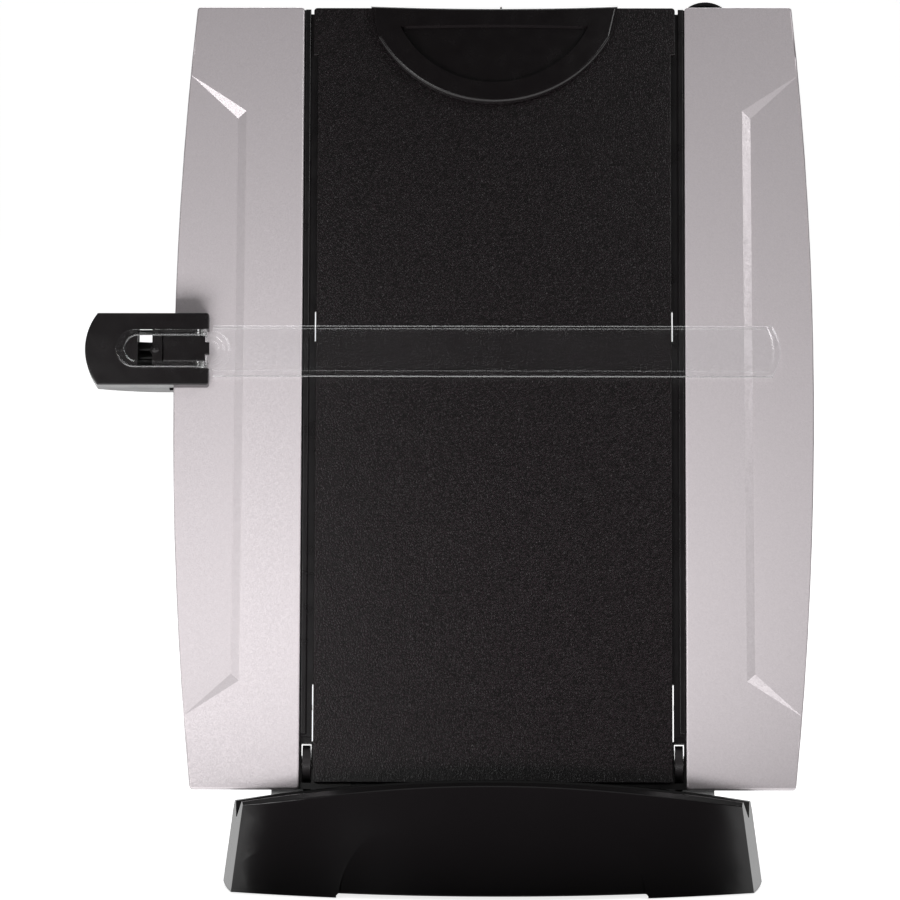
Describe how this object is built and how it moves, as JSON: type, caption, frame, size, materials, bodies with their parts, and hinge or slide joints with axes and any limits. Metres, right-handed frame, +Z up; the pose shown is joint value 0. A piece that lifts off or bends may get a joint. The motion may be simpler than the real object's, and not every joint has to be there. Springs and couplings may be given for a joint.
{
  "type": "desktop copy holder",
  "caption": "Tilting desktop copy holder with a sliding clear line guide, a top paper clip and an arched foot with a ledge for the pages.",
  "frame": {"origin": "middle of the foot on the desk, at the underside of its central rubber pad", "axes": "+Z up, -Y towards the reader, +X to the reader's right; the board leans back 20 degrees about X"},
  "size_m": [0.2974, 0.1564, 0.3472],
  "materials": {
    "black_satin": "satin black moulding",
    "black_plain": "plain matt black moulding",
    "black_smooth": "smooth black moulding",
    "black_grained": "fine leather grain",
    "silver_lacquer": "silver metallic lacquer",
    "zinc_steel": "bright zinc plate",
    "steel_pin": "drawn steel",
    "spring_steel": "oiled spring steel",
    "black_rubber": "matt",
    "clear_acrylic": "clear polished moulding"
  },
  "bodies": {
    "base": {"base_shell": "black_satin", "base_bottom_plate": "black_plain", "base_screws": "zinc_steel", "rubber_feet": "black_rubber", "hinge_saddle": "black_plain", "saddle_screws": "zinc_steel"},
    "board": {"rear_frame": "black_smooth", "centre_panel": "black_grained", "left_wing": "silver_lacquer", "right_wing": "silver_lacquer", "wing_screws": "zinc_steel", "hinge_pins": "steel_pin", "hinge_spring_washers": "spring_steel", "clip_pin": "steel_pin", "clip_spring": "spring_steel", "knob_spindle": "steel_pin", "knob_spring_washer": "spring_steel"},
    "slider": {"slider_plate": "black_satin", "slider_jaw": "black_smooth", "slider_spring": "spring_steel", "slider_screws": "zinc_steel", "guide_pin": "steel_pin"},
    "guide": {"line_guide": "clear_acrylic"},
    "memo": {"memo_clip": "clear_acrylic"},
    "clip": {"top_clip": "black_satin", "clip_pad": "black_rubber"},
    "knob": {"top_knob": "black_smooth"}
  },
  "joints": [
    {"name": "board_tilt", "type": "hinge", "parent": "base", "child": "board", "pos_m": [0, -0.01972, 0.0476], "axis": [-1, 0, 0], "range_deg": [-12, 14]},
    {"name": "guide_slide", "type": "slide", "parent": "board", "child": "slider", "axis": [0, 0.342, 0.9397], "range_m": [-0.14, 0.092]},
    {"name": "guide_lift", "type": "hinge", "parent": "slider", "child": "guide", "pos_m": [-0.119, 0.02704, 0.21], "axis": [0, -0.342, -0.9397], "range_deg": [0, 40]},
    {"name": "memo_clip_lift", "type": "hinge", "parent": "slider", "child": "memo", "pos_m": [-0.119, 0.02704, 0.21], "axis": [0, 0.342, 0.9397], "range_deg": [0, 12], "stiffness_Nm_per_rad": 0.02, "springref_deg": -5.73},
    {"name": "top_clip_open", "type": "hinge", "parent": "board", "child": "clip", "pos_m": [0, 0.08121, 0.33895], "axis": [-1, 0, 0], "range_deg": [0, 14], "stiffness_Nm_per_rad": 0.12, "springref_deg": -28.65, "deforming": ["clip_spring"]},
    {"name": "knob_turn", "type": "hinge", "parent": "board", "child": "knob", "pos_m": [0.087, 0.08628, 0.33444], "axis": [0, 0.9397, -0.342], "continuous": true}
  ]
}
